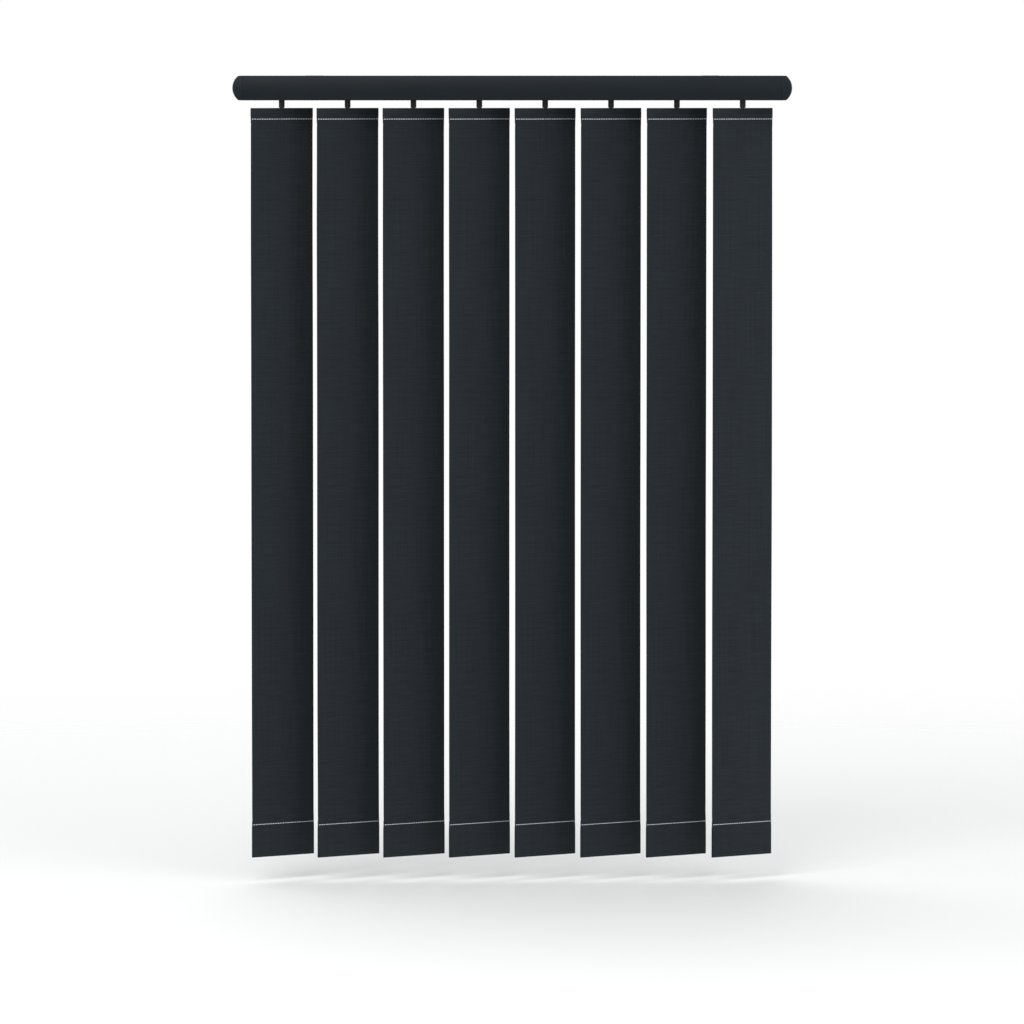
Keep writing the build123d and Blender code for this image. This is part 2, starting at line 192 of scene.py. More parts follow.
# Moulded plastics, with cells of their grain to a metre
PLASTICS = {
    "cap_plastic": {"color": COAT_COLOR, "roughness": 0.46, "grain": 1800, "specular": 0.15},
    "carrier_plastic": {"color": (0.05, 0.054, 0.058), "roughness": 0.5, "grain": 1400},
    "worm_plastic": {"color": (0.55, 0.54, 0.5), "roughness": 0.45, "grain": 1400},
    "stem_plastic": {"color": (0.0095, 0.0122, 0.0145), "roughness": 0.5, "grain": 1600, "specular": 0.3},
    "hanger_plastic": {"color": (0.02, 0.024, 0.027), "roughness": 0.5, "grain": 1600},
}

# Bare metals, with cells of their drawn lines to a metre along each axis
METALS = {
    "spring_steel": {"color": (0.44, 0.45, 0.46), "roughness": 0.38, "line_cells": (40, 1600, 1600)},
    "rod_aluminium": {"color": (0.6, 0.61, 0.62), "roughness": 0.34, "line_cells": (8, 1800, 1800)},
    "weight_steel": {"color": (0.35, 0.36, 0.37), "roughness": 0.5, "line_cells": (600, 600, 60)},
}

# Noise lies mostly between these values
NOISE_LOW = 0.25
NOISE_HIGH = 0.75

# Camera, fitted to the picture's corners, with its lens and sensor in millimetres
CAMERA_DISTANCE = 9.142
CAMERA_LEVEL = -0.0007
CAMERA_OFFSET = -0.0003
CAMERA_PITCH = math.radians(3.322)
CAMERA_LENS = 264.2
CAMERA_SENSOR = 36
CAMERA_REACH = 100

# Stage and light all around
FLOOR_DROP = 0.03
FLOOR_RADIUS = 3.2
FLOOR_SIDES = 96
FLOOR_FADE_SHARE = 0.85
AMBIENT_STRENGTH = 0.8

# Levels and sizes that follow from the solids and the values above
rail_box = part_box("headrail")
rail_top = rail_box[1].z
rail_bottom = rail_box[0].z
rail_middle = (rail_top + rail_bottom) / 2
slat_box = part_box("slat_1")
vane_top = slat_box[1].z
vane_bottom = slat_box[0].z
top_seam = vane_top - TOP_HEM
bottom_seam = vane_bottom + BOTTOM_HEM
gear_module = DRIVE_SPACE / (WHEEL_TEETH / 2 + WORM_PITCH_SHARE + WORM_TIP_SHARE)
thread_lead = math.pi * gear_module
thread_thickness = (thread_lead - BACKLASH) / 2
pitch_radius = WORM_PITCH_SHARE * gear_module
crest_radius = WORM_TIP_SHARE * gear_module - CREST_CLEARANCE
core_radius = WORM_CORE_SHARE * gear_module


def vane_place(number):
    """Where vane 1, 2, 3 ... hangs, turned as it is at rest."""
    low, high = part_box(f"worm_{number}")
    return Matrix.Translation(((low.x + high.x) / 2, 0, 0)) @ Matrix.Rotation(REST_TILT, 4, "Z")


def ease(value):
    """A smooth step from 0 to 1."""
    value = min(max(value, 0.0), 1.0)
    return value * value * (3 - 2 * value)


def grown(least_share, share):
    """A share that starts at a least value and grows to one."""
    return least_share + (1 - least_share) * share


def spread(low, high, step):
    """Evenly spaced values from low to high, no further apart than a step."""
    count = max(1, math.ceil(abs(high - low) / step))
    return [low + (high - low) * index / count for index in range(count + 1)]


def bridge(work, rings):
    """Joins each closed ring of vertices to the next one."""
    for first, second in zip(rings, rings[1:]):
        for index in range(len(first)):
            following = (index + 1) % len(first)
            work.faces.new((first[index], first[following], second[following], second[index]))


def tube(work, rings):
    """Joins rings of vertices and closes both ends."""
    bridge(work, rings)
    work.faces.new(rings[0])
    work.faces.new(rings[-1])


def finished_mesh(work, name, crease):
    """Turns a bmesh into a mesh that shades smoothly, apart from edges that bend by more than a crease."""
    bmesh.ops.recalc_face_normals(work, faces=work.faces)
    work.normal_update()
    for face in work.faces:
        face.smooth = True
    for edge in work.edges:
        edge.smooth = len(edge.link_faces) == 2 and edge.calc_face_angle(0) < crease
    mesh = bpy.data.meshes.new(name)
    work.to_mesh(mesh)
    work.free()
    return mesh


def new_object(name, data):
    """An object that is in the scene."""
    item = bpy.data.objects.new(name, data)
    bpy.context.scene.collection.objects.link(item)
    return item


def add_piece(name, mesh, material, body):
    """A piece that rides on a body and takes the finish it is given."""
    piece = new_object(name, mesh)
    mesh.materials.append(material)
    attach(piece, body)
    return piece


def keep_flats_flat(piece):
    """Lets large faces set the normals at their rounded edges, so that they shade as flat."""
    weighting = piece.modifiers.new("weighted_normals", "WEIGHTED_NORMAL")
    weighting.keep_sharp = True


# Materials


class Shader:
    """A material with a Principled surface and short ways to add the nodes that feed it.

    Further sockets of the surface are given by name, with underscores for spaces.
    """

    def __init__(self, name, color, roughness, **sockets):
        self.material = bpy.data.materials.new(name)
        self.material.use_nodes = True
        self.tree = self.material.node_tree
        self.surface = self.tree.nodes["Principled BSDF"]
        self.color = color
        self.surface.inputs["Base Color"].default_value = (*color, 1)
        self.surface.inputs["Roughness"].default_value = roughness
        for socket, value in sockets.items():
            self.surface.inputs[socket.replace("_", " ")].default_value = value

    def add(self, kind, **settings):
        """A new node with its settings."""
        node = self.tree.nodes.new(kind)
        for name, value in settings.items():
            setattr(node, name, value)
        return node

    def link(self, output, target):
        """Feeds a node's output to an input."""
        self.tree.links.new(output, target)

    def coordinates(self, source, cells):
        """A source's coordinates, with this many cells to a metre along each axis."""
        place = self.add("ShaderNodeTexCoord")
        mapping = self.add("ShaderNodeMapping")
        mapping.inputs["Scale"].default_value = cells
        self.link(place.outputs[source], mapping.inputs["Vector"])
        return mapping.outputs["Vector"]

    def noise(self, source, cells, detail=2.0, roughness=0.5):
        """Noise with this many cells to a metre along each axis."""
        node = self.add("ShaderNodeTexNoise")
        node.inputs["Scale"].default_value = 1.0
        node.inputs["Detail"].default_value = detail
        node.inputs["Roughness"].default_value = roughness
        self.link(self.coordinates(source, cells), node.inputs["Vector"])
        return node.outputs["Fac"]

    def calculate(self, operation, *values):
        """An operation on numbers and node outputs."""
        node = self.add("ShaderNodeMath", operation=operation)
        for socket, value in zip(node.inputs, values):
            if isinstance(value, (int, float)):
                socket.default_value = value
            else:
                self.link(value, socket)
        return node.outputs[0]

    def product(self, first, *others):
        """All the values multiplied."""
        for other in others:
            first = self.calculate("MULTIPLY", first, other)
        return first

    def total(self, first, *others):
        """All the values added up."""
        for other in others:
            first = self.calculate("ADD", first, other)
        return first

    def between(self, value, low, high):
        """A noise value, mapped to a range."""
        node = self.add("ShaderNodeMapRange")
        node.inputs["From Min"].default_value = NOISE_LOW
        node.inputs["From Max"].default_value = NOISE_HIGH
        node.inputs["To Min"].default_value = low
        node.inputs["To Max"].default_value = high
        self.link(value, node.inputs["Value"])
        return node.outputs["Result"]

    def shade(self, *factors):
        """The base colour, made lighter and darker by factors around one."""
        node = self.add("ShaderNodeVectorMath", operation="SCALE")
        node.inputs[0].default_value = self.color
        self.link(self.product(*factors), node.inputs["Scale"])
        self.link(node.outputs["Vector"], self.surface.inputs["Base Color"])

    def rough(self, value):
        """A roughness that varies over the surface."""
        self.link(value, self.surface.inputs["Roughness"])

    def bump(self, height, depth, strength):
        """Fine relief, as deep as this for a height of one."""
        node = self.add("ShaderNodeBump")
        node.inputs["Distance"].default_value = depth
        node.inputs["Strength"].default_value = strength
        self.link(height, node.inputs["Height"])
        self.link(node.outputs["Normal"], self.surface.inputs["Normal"])


def cloth_material():
    """A dense plain weave with slubs, on the map that is in metres across and along the vane."""
    yarn_pitch = 0.9 * MM
    yarns = 1 / yarn_pitch
    weave_tone = 0.16
    weave_lift, fibre_lift, slub_lift = 0.5, 0.5, 0.8
    shader = Shader("vane_cloth", CLOTH_COLOR, roughness=0.86, Specular_IOR_Level=0.16,
                    Sheen_Weight=0.08, Sheen_Roughness=0.45)
    place = shader.add("ShaderNodeSeparateXYZ")
    shader.link(shader.coordinates("UV", (yarns, yarns, 1)), place.inputs[0])
    weft = shader.calculate("SINE", shader.product(place.outputs["X"], math.tau))
    warp = shader.calculate("SINE", shader.product(place.outputs["Y"], math.tau))
    weave = shader.product(weft, warp)
    fibres = shader.noise("UV", cells=(2600, 2600, 1), detail=3)
    weft_slubs = shader.noise("UV", cells=(26, 700, 1), detail=3, roughness=0.6)
    warp_slubs = shader.noise("UV", cells=(600, 8, 1), detail=3, roughness=0.6)
    clouds = shader.noise("UV", cells=(22, 9, 1), detail=3)
    shader.shade(
        shader.between(weft_slubs, low=0.72, high=1.28),
        shader.between(warp_slubs, low=0.82, high=1.18),
        shader.between(clouds, low=0.95, high=1.05),
        shader.total(1.0, shader.product(weave, weave_tone)),
    )
    height = shader.total(
        shader.product(weave, weave_lift),
        shader.product(fibres, fibre_lift),
        shader.product(weft_slubs, slub_lift),
    )
    shader.bump(height, depth=0.12 * MM, strength=0.7)
    return shader.material


def thread_material():
    """Pale grey sewing thread with the slant of its twisted plies."""
    ply_scale = 900
    shader = Shader("hem_thread", THREAD_COLOR, roughness=0.7, Specular_IOR_Level=0.3, Sheen_Weight=0.2)
    waves = shader.add("ShaderNodeTexWave", bands_direction="DIAGONAL")
    waves.inputs["Scale"].default_value = ply_scale
    shader.link(shader.coordinates("Object", (1, 1, 1)), waves.inputs["Vector"])
    plies = waves.outputs["Fac"]
    fluff = shader.noise("Object", cells=(3000, 3000, 3000))
    shader.shade(shader.between(fluff, low=0.9, high=1.1), shader.between(plies, low=0.9, high=1.06))
    shader.bump(plies, depth=0.05 * MM, strength=0.8)
    return shader.material


def rail_material():
    """Satin powder coat on an extrusion: fine orange peel and faint lines along the rail."""
    line_lift = 0.5
    shader = Shader("rail_finish", COAT_COLOR, roughness=0.42, Specular_IOR_Level=0.13)
    peel = shader.noise("Object", cells=(1500, 1500, 1500))
    lines = shader.noise("Object", cells=(3, 1400, 1400))
    clouds = shader.noise("Object", cells=(14, 60, 60), detail=3)
    shader.shade(
        shader.between(clouds, low=0.94, high=1.06),
        shader.between(lines, low=0.96, high=1.04),
        shader.between(peel, low=0.84, high=1.16),
    )
    shader.rough(shader.between(clouds, low=0.37, high=0.47))
    shader.bump(shader.total(peel, shader.product(lines, line_lift)), depth=0.09 * MM, strength=0.8)
    return shader.material


def plastic_material(name, color, roughness, grain, specular=0.4):
    """Moulded plastic with a fine spark-eroded grain."""
    rough_swing = 0.05
    shader = Shader(name, color, roughness, Specular_IOR_Level=specular)
    skin = shader.noise("Object", cells=(grain, grain, grain), roughness=0.6)
    clouds = shader.noise("Object", cells=(90, 90, 90), detail=3)
    shader.shade(shader.between(clouds, low=0.94, high=1.06), shader.between(skin, low=0.88, high=1.12))
    shader.rough(shader.between(clouds, low=roughness - rough_swing, high=roughness + rough_swing))
    shader.bump(skin, depth=0.06 * MM, strength=0.8)
    return shader.material


def metal_material(name, color, roughness, line_cells):
    """Bare metal with the lines that rolling or drawing leaves."""
    smoother, rougher = 0.08, 0.1
    shader = Shader(name, color, roughness, Metallic=1.0)
    lines = shader.noise("Object", cells=line_cells, detail=4, roughness=0.65)
    clouds = shader.noise("Object", cells=(120, 120, 120), detail=3)
    shader.shade(shader.between(lines, low=0.92, high=1.06), shader.between(clouds, low=0.95, high=1.04))
    shader.rough(shader.between(lines, low=roughness - smoother, high=roughness + rougher))
    shader.bump(lines, depth=0.02 * MM, strength=0.5)
    return shader.material


materials = {"vane_cloth": cloth_material(), "rail_finish": rail_material()}
for slot_name, look in PLASTICS.items():
    materials[slot_name] = plastic_material(slot_name, **look)
for slot_name, look in METALS.items():
    materials[slot_name] = metal_material(slot_name, **look)
hem_thread = thread_material()

for entry in frame["record"]["subparts"]:
    for material_slot in frame["nodes"][entry["node"]].material_slots:
        material_slot.material = materials[entry["material_slot"]]


# Vane cloth


def layer_offset(level, folded):
    """How far a layer's middle lies from the vane's middle plane at a level, before the cloth sags."""
    lap = FABRIC / 2
    if level > top_seam - SEAM_ALLOWANCE - LAP_EASE:
        beyond, taper, half = level - top_seam, TOP_TAPER, TOP_HALF
    elif level < bottom_seam + SEAM_ALLOWANCE + LAP_EASE:
        beyond, taper, half = bottom_seam - level, BOTTOM_TAPER, BOTTOM_HALF
    else:
        return 0.0
    if beyond >= 0:
        pocket = half - FABRIC / 2
        return lap + (pocket - lap) * ease(beyond / taper)
    if folded:
        return lap
    return lap * ease(1 + (beyond + SEAM_ALLOWANCE) / LAP_EASE)


def fold_arc(half, edge, upwards):
    """The points of a fold from the front layer round to the back one, as (across, level)."""
    flat = half - FABRIC / 2
    turn = 1 if upwards else -1
    middle = edge - turn * (FABRIC / 2 + FOLD_RADIUS)
    points = []
    for side, start in ((-1, math.pi), (1, math.pi / 2)):
        for step in range(FOLD_STEPS + 1):
            angle = start - math.pi / 2 * step / FOLD_STEPS
            across = side * (flat - FOLD_RADIUS) + FOLD_RADIUS * math.cos(angle)
            points.append((across, middle + turn * FOLD_RADIUS * math.sin(angle)))
    return points


def cloth_path():
    """The sheet's middle line from the lower hem's raw edge round both folds to the upper one's."""
    reach = FABRIC / 2 + FOLD_RADIUS
    bottom_turn = vane_bottom + reach
    top_turn = vane_top - reach
    lower_hem = spread(bottom_seam + SEAM_ALLOWANCE, bottom_seam - BOTTOM_TAPER, SEAM_STEP)
    lower_hem += spread(bottom_seam - BOTTOM_TAPER, bottom_turn, LOWER_POCKET_STEP)[1:-1]
    upper_hem = spread(top_seam - SEAM_ALLOWANCE, top_seam + TOP_TAPER, SEAM_STEP)
    upper_hem += spread(top_seam + TOP_TAPER, top_turn, UPPER_POCKET_STEP)[1:-1]
    panel_low = bottom_seam + SEAM_ALLOWANCE
    panel_high = top_seam - SEAM_ALLOWANCE
    panel = spread(panel_low, panel_low + LAP_EASE, SEAM_STEP)[1:]
    panel += spread(panel_low + LAP_EASE, panel_high - LAP_EASE, PANEL_STEP)[1:]
    panel += spread(panel_high - LAP_EASE, panel_high, SEAM_STEP)[1:-1]
    front = [*reversed(lower_hem), *panel, *upper_hem]
    path = [(layer_offset(level, folded=True), level) for level in lower_hem]
    path += reversed(fold_arc(BOTTOM_HALF, vane_bottom, upwards=False))
    path += [(-layer_offset(level, folded=False), level) for level in front]
    path += fold_arc(TOP_HALF, vane_top, upwards=True)
    path += [(layer_offset(level, folded=True), level) for level in reversed(upper_hem)]
    return path


class Hang:
    """One vane's own small departures from flat: a cup, slow waves, a twist and puckers at the seams."""

    def __init__(self, number):
        chance = random.Random(number)
        self.cup = CUP_DEPTH * chance.uniform(LEAST_DEPTH_SHARE, 1) * chance.choice((-1, 1))
        self.twist = TWIST_DEPTH * chance.uniform(-1, 1)
        self.waves = []
        for count in WAVE_COUNTS:
            depth = WAVE_DEPTH / count * chance.uniform(LEAST_DEPTH_SHARE, 1)
            self.waves.append((count, depth, chance.uniform(0, math.tau)))
        self.puckers = [(seam, chance.uniform(0, math.tau)) for seam in (bottom_seam, top_seam)]

    def sag(self, across, level):
        """How far the cloth lies from its straight place."""
        width_share = across / (VANE_WIDTH / 2)
        height_share = (level - bottom_seam) / (top_seam - bottom_seam)
        free_share = ease(height_share / HEM_HOLD_SHARE) * ease((1 - height_share) / HEM_HOLD_SHARE)
        offset = self.cup * (1 / 2 - width_share * width_share)
        offset += self.twist * width_share * math.sin(math.pi * height_share)
        for count, depth, phase in self.waves:
            offset += depth * math.sin(count * math.pi * height_share + phase)
        offset *= free_share
        for seam, phase in self.puckers:
            near_share = ease(1 - abs(level - seam) / PUCKER_REACH)
            offset += PUCKER_DEPTH * near_share * math.sin(math.tau * across / PUCKER_LENGTH + phase)
        return offset


def path_normals(path):
    """The unit normal of each point of a path, to the path's left."""
    normals = []
    for index in range(len(path)):
        before = Vector(path[max(index - 1, 0)])
        after = Vector(path[min(index + 1, len(path) - 1)])
        along = (after - before).normalized()
        normals.append(Vector((-along.y, along.x)))
    return normals


def path_lengths(path):
    """How far along a path each of its points lies."""
    lengths = [0.0]
    for first, second in zip(path, path[1:]):
        lengths.append(lengths[-1] + (Vector(second) - Vector(first)).length)
    return lengths


def pinched(offset, across):
    """A layer's offset, drawn in towards the vane's sides, where no plate spreads the pocket."""
    lap = FABRIC / 2
    if abs(offset) <= lap:
        return offset
    beyond_share = (abs(across) - PLATE_HALF) / (VANE_WIDTH / 2 - PLATE_HALF)
    open_share = grown(PINCH_SHARE, 1 - ease(beyond_share))
    return math.copysign(lap + (abs(offset) - lap) * open_share, offset)


def cloth_columns():
    """Places across the vane, with one at each side of the tab's slit and two in it."""
    outer = spread(SLIT_HALF, PLATE_HALF, COLUMN_STEP) + spread(PLATE_HALF, VANE_WIDTH / 2, PINCH_STEP)[1:]
    return [-place for place in reversed(outer)] + [-SLIT_HALF / 3, SLIT_HALF / 3] + outer


def strip_place(strip, across, along, length):
    """Where a point of the sheet lies on the map of strips."""
    inner_share = 1 - 2 * MAP_MARGIN_SHARE
    u = MAP_MARGIN_SHARE + inner_share * (across / VANE_WIDTH + 1 / 2)
    v = MAP_MARGIN_SHARE + inner_share * (MAP_STRIPS * along / length - strip)
    return (strip + u) / MAP_STRIPS, v


def slat_mesh(name, hang):
    """A sheet with its own thickness along the path, open at the slit in its top fold, and its length."""
    path = cloth_path()
    normals = path_normals(path)
    lengths = path_lengths(path)
    columns = cloth_columns()
    slit_level = vane_top - FABRIC / 2 - FOLD_RADIUS / 2
    work = bmesh.new()
    metres = work.loops.layers.uv.new("metres")
    strips = work.loops.layers.uv.new("OFBake")
    sheet = {}
    for side in (-1, 1):
        for row, ((offset, level), normal) in enumerate(zip(path, normals)):
            for column, across in enumerate(columns):
                y = pinched(offset, across) + hang.sag(across, level) + side * normal.x * FABRIC / 2
                z = level + side * normal.y * FABRIC / 2
                sheet[side, row, column] = work.verts.new((across, y, z))

    def is_cloth(row, column):
        """Whether the sheet has a face there: not beyond its edges, nor in the slit."""
        if not (0 <= row < len(path) - 1 and 0 <= column < len(columns) - 1):
            return False
        in_slit = abs(columns[column] + columns[column + 1]) / 2 < SLIT_HALF
        return not (in_slit and min(path[row][1], path[row + 1][1]) > slit_level)

    def add_face(corners, outwards=(0, 0)):
        """A face of the sheet, or one of its rim, which the maps show beyond the sheet's edge."""
        face = work.faces.new([sheet[corner] for corner in corners])
        middle = sum(lengths[row] for side, row, column in corners) / len(corners)
        strip = min(int(MAP_STRIPS * middle / lengths[-1]), MAP_STRIPS - 1)
        for loop, (side, row, column) in zip(face.loops, corners):
            beyond = FABRIC if side < 0 else 0
            across = columns[column] + beyond * outwards[0]
            along = lengths[row] + beyond * outwards[1]
            loop[metres].uv = (across, along)
            loop[strips].uv = strip_place(strip, across, along, lengths[-1])

    for row in range(len(path) - 1):
        for column in range(len(columns) - 1):
            if not is_cloth(row, column):
                continue
            corners = [(row, column), (row, column + 1), (row + 1, column + 1), (row + 1, column)]
            add_face([(1, *corner) for corner in corners])
            add_face([(-1, *corner) for corner in reversed(corners)])
            neighbours = [(row - 1, column), (row, column + 1), (row + 1, column), (row, column - 1)]
            for index, neighbour in enumerate(neighbours):
                if not is_cloth(*neighbour):
                    first, second = corners[index], corners[(index + 1) % len(corners)]
                    rim = [(1, *second), (1, *first), (-1, *first), (-1, *second)]
                    add_face(rim, (neighbour[1] - column, neighbour[0] - row))
    bmesh.ops.delete(work, geom=[vert for vert in work.verts if not vert.link_faces], context="VERTS")
    return finished_mesh(work, name, CLOTH_CREASE), lengths[-1]


def add_stitch(work, across, surface, level, outwards):
    """One raised stitch along the seam, with both ends drawn into the cloth."""
    rings = []
    for ring in range(STITCH_RINGS + 1):
        share = ring / STITCH_RINGS
        x = across + (share - 1 / 2) * STITCH_LENGTH
        out_share = ease(min(share, 1 - share) / STITCH_END_SHARE)
        swell_share = grown(STITCH_TIP_SHARE, out_share)
        lift = (STITCH_HEIGHT + STITCH_SINK) * out_share - STITCH_SINK - STITCH_HEIGHT / 2
        loop = []
        for step in range(STITCH_SIDES):
            angle = math.tau * step / STITCH_SIDES
            y = surface + outwards * (lift + STITCH_HEIGHT / 2 * swell_share * math.sin(angle))
            z = level + STITCH_WIDTH / 2 * swell_share * math.cos(angle)
            loop.append(work.verts.new((x, y, z)))
        rings.append(loop)
    tube(work, rings)


def stitch_mesh(name, hang):
    """Both hems' rows of stitches, on the front and the back of the vane."""
    work = bmesh.new()
    count = int((VANE_WIDTH + STITCH_PITCH - STITCH_LENGTH) / STITCH_PITCH)
    for level in (top_seam, bottom_seam):
        for outwards in (-1, 1):
            for index in range(count):
                across = (index - (count - 1) / 2) * STITCH_PITCH
                surface = outwards * FABRIC + hang.sag(across, level)
                add_stitch(work, across, surface, level, outwards)
    return finished_mesh(work, name, STITCH_CREASE)


def add_vane(number):
    """One vane's cloth and stitching, hung in its place."""
    hang = Hang(number)
    place = vane_place(number)
    mesh, length = slat_mesh(f"slat_cloth_{number}", hang)
    mesh.transform(place)
    slat = add_piece(f"slat_cloth_{number}", mesh, materials["vane_cloth"], f"vane_{number}")
    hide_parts(f"slat_{number}")
    rows = stitch_mesh(f"hem_stitches_{number}", hang)
    rows.transform(place)
    stitches = add_piece(f"hem_stitches_{number}", rows, hem_thread, f"vane_{number}")


for vane_number in range(1, VANE_COUNT + 1):
    add_vane(vane_number)


# Headrail


def arc(centre, radius, start, end, steps):
    """Points of an arc between two angles."""
    points = []
    for step in range(steps + 1):
        angle = start + (end - start) * step / steps
        points.append((centre[0] + radius * math.cos(angle), centre[1] + radius * math.sin(angle)))
    return points


def dome_radius(half_chord, rise):
    """The radius of an arc that rises by an amount over half its chord."""
    return (half_chord * half_chord + rise * rise) / (2 * rise)


def bowed_side(inset):
    """The rail's bowed side from bottom to top, moved inwards by an inset."""
    half_chord = RAIL_HEIGHT / 2 - inset
    radius = dome_radius(half_chord, RAIL_BOW)
    half_angle = math.asin(half_chord / radius)
    centre = (RAIL_DEPTH / 2 - inset - radius, rail_middle)
    return arc(centre, radius, -half_angle, half_angle, BOW_STEPS)


def rounded_side():
    """The bowed outside with its upper and lower edges rounded."""
    side = bowed_side(0)
    bottom, top = side[0], side[-1]
    lower = [(bottom[0] - RAIL_EDGE, bottom[1])]
    upper = [(top[0] - RAIL_EDGE, top[1])]
    inner = [point for point in side if abs(point[1] - rail_middle) < RAIL_HEIGHT / 2 - RAIL_EDGE]
    for corner, away, near in ((lower, bottom, inner[0]), (upper, top, inner[-1])):
        start = Vector(corner[0])
        for step in range(1, CORNER_STEPS):
            share = step / CORNER_STEPS
            point = start.lerp(Vector(away), share).lerp(Vector(away).lerp(Vector(near), share), share)
            corner.append(tuple(point))
    return lower + inner + list(reversed(upper))


def rail_half_section():
    """The half of the extrusion's section behind the stems: outside and inside, from slot to channel."""
    opening = CHANNEL_OPENING / 2
    undercut = CHANNEL_UNDERCUT / 2
    slot = SLOT_WIDTH / 2
    channel_wall = undercut + RAIL_WALL
    channel_floor = rail_top - CHANNEL_DEPTH
    lip = rail_top - CHANNEL_LIP
    track = rail_bottom + RAIL_WALL
    outside = [(slot, rail_bottom)] + rounded_side()
    outside += [(opening, rail_top), (opening, lip), (undercut, lip), (undercut, channel_floor)]
    inside = [(slot, track + GUIDE_RISE), (slot + RAIL_WALL, track + GUIDE_RISE), (slot + RAIL_WALL, track)]
    inside += bowed_side(RAIL_WALL)
    inside += [(channel_wall, rail_top - RAIL_WALL), (channel_wall, channel_floor - RAIL_WALL)]
    return outside, inside


def headrail_mesh(name):
    """The extrusion along the rail, with its lengthwise corners rounded."""
    outside, inside = rail_half_section()
    loop = outside + [(-y, z) for y, z in reversed(outside)]
    loop += [(-y, z) for y, z in inside] + list(reversed(inside))
    work = bmesh.new()
    tube(work, [[work.verts.new((corner.x, y, z)) for y, z in loop] for corner in rail_box])
    bmesh.ops.recalc_face_normals(work, faces=work.faces)
    sharp = [edge for edge in work.edges if edge.calc_face_angle(0) > EXTRUSION_CORNER]
    lengthwise = [edge for edge in sharp if abs(edge.verts[0].co.x - edge.verts[1].co.x) > RAIL_DEPTH]
    bmesh.ops.bevel(work, geom=lengthwise, offset=EXTRUSION_ROUND, segments=BEVEL_STEPS,
                    profile=BEVEL_PROFILE, affect="EDGES")
    return finished_mesh(work, name, RAIL_CREASE)


rail = add_piece("headrail_extrusion", headrail_mesh("headrail_extrusion"), materials["rail_finish"], "rail")
keep_flats_flat(rail)
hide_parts("headrail")


# End caps, clips and stems


def rail_loop():
    """The rail's outside as a closed loop, anticlockwise as seen from the right."""
    side = rounded_side()
    top = [(y, rail_top) for y in spread(side[-1][0], -side[-1][0], CAP_STEP)[1:-1]]
    bottom = [(y, rail_bottom) for y in spread(-side[0][0], side[0][0], CAP_STEP)[1:-1]]
    return side + top + [(-y, z) for y, z in reversed(side)] + bottom


def inset_loop(loop, inset):
    """A closed loop moved inwards."""
    points = []
    for index, point in enumerate(loop):
        along = (Vector(loop[(index + 1) % len(loop)]) - Vector(loop[index - 1])).normalized()
        points.append(Vector(point) + inset * Vector((-along.y, along.x)))
    return points


def cap_end(y, z):
    """How far along the rail the right-hand cap's domed end stands."""
    upright_radius = dome_radius(RAIL_HEIGHT / 2, CAP_DOME)
    plan_radius = dome_radius(RAIL_DEPTH / 2, CAP_PLAN_DOME)
    drop = upright_radius - math.sqrt(upright_radius**2 - (z - rail_middle) ** 2)
    drop += plan_radius - math.sqrt(plan_radius**2 - y**2)
    return cad_box[1].x - CAP_SET_IN - drop


def cap_form(side):
    """A closed form with rounded edges and a fine joint at the rail, for the right (1) or left (-1) cap."""
    loop = rail_loop()
    joint = rail_box[1].x
    tucked = inset_loop(loop, CAP_PARTING)
    rings = [[(x, y, z) for y, z in tucked] for x in (joint - 2 * TONGUE_LENGTH, joint)]
    rings.append([(joint + CAP_PARTING, y, z) for y, z in inset_loop(loop, CAP_SET_IN)])
    for step in range(ROUND_STEPS + 1):
        angle = math.pi / 2 * step / ROUND_STEPS
        rim = inset_loop(loop, CAP_SET_IN + CAP_ROUND * (1 - math.cos(angle)))
        rings.append([(cap_end(y, z) - CAP_ROUND * (1 - math.sin(angle)), y, z) for y, z in rim])
    for step in range(1, DOME_STEPS + 1):
        share = 1 - step / DOME_STEPS
        ring = [(y * grown(RIDGE_SHARE, share), rail_middle + (z - rail_middle) * share) for y, z in rim]
        rings.append([(cap_end(y, z), y, z) for y, z in ring])
    work = bmesh.new()
    loops = [[work.verts.new((side * x, y, z)) for x, y, z in ring] for ring in rings]
    bridge(work, loops)
    work.faces.new(loops[0])
    bmesh.ops.remove_doubles(work, verts=work.verts, dist=MERGE_DISTANCE)
    return finished_mesh(work, "cap_form", CAP_CREASE)


def solid_copy(node):
    """A solid's mesh as a bmesh, with its faces joined and its flat faces whole."""
    work = bmesh.new()
    work.from_mesh(frame["nodes"][node].data)
    bmesh.ops.remove_doubles(work, verts=work.verts, dist=MERGE_DISTANCE)
    bmesh.ops.dissolve_limit(work, angle_limit=FLAT_FACE, verts=work.verts, edges=work.edges)
    return work


def trimmed_mesh(name, node, form):
    """A solid's mesh, cut back to a form inside it."""
    work = solid_copy(node)
    solid = new_object("trim_solid", bpy.data.meshes.new("trim_solid"))
    work.to_mesh(solid.data)
    work.free()
    cutter = new_object("trim_cutter", form)
    modifier = solid.modifiers.new("trim", "BOOLEAN")
    modifier.operation = "INTERSECT"
    modifier.solver = "EXACT"
    modifier.object = cutter
    trimmed = bmesh.new()
    trimmed.from_object(solid, bpy.context.evaluated_depsgraph_get())
    for scratch in (solid, cutter):
        bpy.data.objects.remove(scratch)
    return finished_mesh(trimmed, name, CAP_CREASE)


def softened_mesh(name, node, width, ceiling):
    """A solid's mesh with its sharp edges rounded below a level."""
    work = solid_copy(node)
    sharp = []
    for edge in work.edges:
        below = max(vert.co.z for vert in edge.verts) < ceiling
        if below and edge.is_manifold and edge.calc_face_angle(0) > MOULDED_CORNER:
            sharp.append(edge)
    bmesh.ops.bevel(work, geom=sharp, offset=width, segments=BEVEL_STEPS, profile=BEVEL_PROFILE,
                    affect="EDGES", clamp_overlap=True)
    return finished_mesh(work, name, MOULDED_CREASE)


